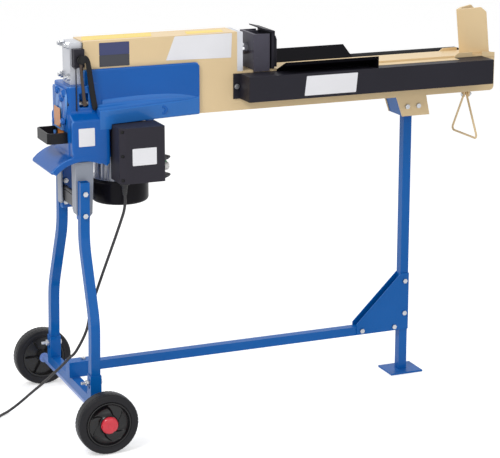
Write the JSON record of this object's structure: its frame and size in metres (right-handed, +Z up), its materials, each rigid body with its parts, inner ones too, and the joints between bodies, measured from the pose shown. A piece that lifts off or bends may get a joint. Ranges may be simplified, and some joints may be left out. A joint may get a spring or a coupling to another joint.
{
  "type": "log splitter",
  "caption": "Electric horizontal log splitter on a wheeled stand: ram, wedge and side rails on a box beam, motor and oil pump housing, control lever and switch box.",
  "frame": {"origin": "on the floor under the middle of the machine's box, in its centre plane, measured without the mains cord", "axes": "+X along the beam from the motor end to the wedge, +Y towards the far wheel (the switch box is on the -Y side), +Z up"},
  "size_m": [1.4708, 0.5996, 0.9754],
  "materials": {
    "frame_blue": "gloss",
    "casting_blue": "gloss",
    "tan_paint": "satin",
    "black_coat": "satin",
    "grey_bracket": "satin",
    "dark_steel": "satin",
    "zinc_steel": "satin",
    "tyre_rubber": "matte",
    "rim_plastic": "matte",
    "cap_red": "gloss",
    "cylinder_steel": "satin",
    "block_aluminium": "satin",
    "rod_chrome": "polished",
    "seal_rubber": "matte",
    "black_plastic": "matte",
    "lever_steel": "satin",
    "button_green": "gloss",
    "button_white": "gloss"
  },
  "bodies": {
    "machine": {"leg_near": "frame_blue", "leg_far": "frame_blue", "cross_member": "frame_blue", "wheel_axle": "zinc_steel", "brace_tube": "frame_blue", "rear_post": "frame_blue", "foot_plate": "frame_blue", "gussets": "frame_blue", "frame_bolts": "zinc_steel", "leg_bracket_near": "grey_bracket", "leg_bracket_far": "grey_bracket", "bracket_spacer": "dark_steel", "beam": "tan_paint", "rail_near": "black_coat", "rail_far": "black_coat", "wing_near": "black_coat", "wing_far": "black_coat", "wedge": "tan_paint", "wedge_seat": "tan_paint", "cylinder_tube": "cylinder_steel", "end_block": "block_aluminium", "front_flange": "block_aluminium", "tie_rods": "zinc_steel", "housing": "casting_blue", "end_cover": "casting_blue", "cover_screws": "zinc_steel", "strap_handle": "lever_steel", "lever_block": "black_plastic", "lever_pivot": "zinc_steel", "return_spring": "zinc_steel", "bleed_screw": "zinc_steel", "motor_body": "block_aluminium", "motor_bearings": "zinc_steel", "fan_cover": "black_plastic", "switch_box": "black_plastic", "box_lid": "black_plastic", "cable_gland": "seal_rubber", "mains_cord": "seal_rubber", "cord_coil": "seal_rubber", "mains_plug": "black_plastic"},
    "wheel_near": {"tyre_near": "tyre_rubber", "rim_near": "rim_plastic", "hub_cap_near": "cap_red"},
    "wheel_far": {"tyre_far": "tyre_rubber", "rim_far": "rim_plastic", "hub_cap_far": "cap_red"},
    "ram": {"piston": "cylinder_steel", "piston_seal": "seal_rubber", "piston_rod": "rod_chrome", "pusher": "black_coat", "ram_plate": "black_coat"},
    "lever": {"control_lever": "lever_steel"},
    "spool": {"valve_spool": "zinc_steel"},
    "pull_handle": {"wire_handle": "tan_paint"},
    "rotor": {"rotor_shaft": "cylinder_steel", "fan": "black_plastic", "pump_drive_gear": "cylinder_steel"},
    "driven_gear": {"pump_driven_gear": "cylinder_steel"},
    "start": {"start_button": "button_green"},
    "stop": {"stop_button": "button_white"}
  },
  "joints": [
    {"name": "near_wheel_spin", "type": "hinge", "parent": "machine", "child": "wheel_near", "pos_m": [-0.542, -0.271, 0.075], "axis": [0, 1, 0], "continuous": true},
    {"name": "far_wheel_spin", "type": "hinge", "parent": "machine", "child": "wheel_far", "pos_m": [-0.542, 0.271, 0.075], "axis": [0, 1, 0], "continuous": true},
    {"name": "ram_stroke", "type": "slide", "parent": "machine", "child": "ram", "axis": [1, 0, 0], "range_m": [0, 0.349]},
    {"name": "lever_swing", "type": "hinge", "parent": "machine", "child": "lever", "pos_m": [-0.518, -0.055, 0.912], "axis": [0, 1, 0], "range_deg": [0, 6], "stiffness_Nm_per_rad": 3, "springref_deg": -5.73},
    {"name": "spool_travel", "type": "slide", "parent": "machine", "child": "spool", "axis": [-1, 0, 0], "range_m": [-0.0002, 0.0116], "deforming": ["return_spring"]},
    {"name": "handle_swing", "type": "hinge", "parent": "machine", "child": "pull_handle", "pos_m": [0.556, 0, 0.743], "axis": [1, 0, 0], "range_deg": [-65, 65]},
    {"name": "rotor_spin", "type": "hinge", "parent": "machine", "child": "rotor", "pos_m": [-0.408, 0, 0.64], "axis": [0, 0, 1], "continuous": true},
    {"name": "driven_gear_spin", "type": "hinge", "parent": "machine", "child": "driven_gear", "pos_m": [-0.4364, 0, 0.697], "axis": [0, 0, 1], "continuous": true},
    {"name": "start_press", "type": "slide", "parent": "machine", "child": "start", "axis": [-1, 0, 0], "range_m": [0, 0.004], "stiffness_N_per_m": 600, "springref_m": -0.002},
    {"name": "stop_press", "type": "slide", "parent": "machine", "child": "stop", "axis": [-1, 0, 0], "range_m": [0, 0.004], "stiffness_N_per_m": 600, "springref_m": -0.002}
  ],
  "couplings": [
    {"joint": "driven_gear_spin", "follows": "rotor_spin", "ratio": -1},
    {"joint": "spool_travel", "follows": "lever_swing", "m_per_rad": 0.106}
  ]
}
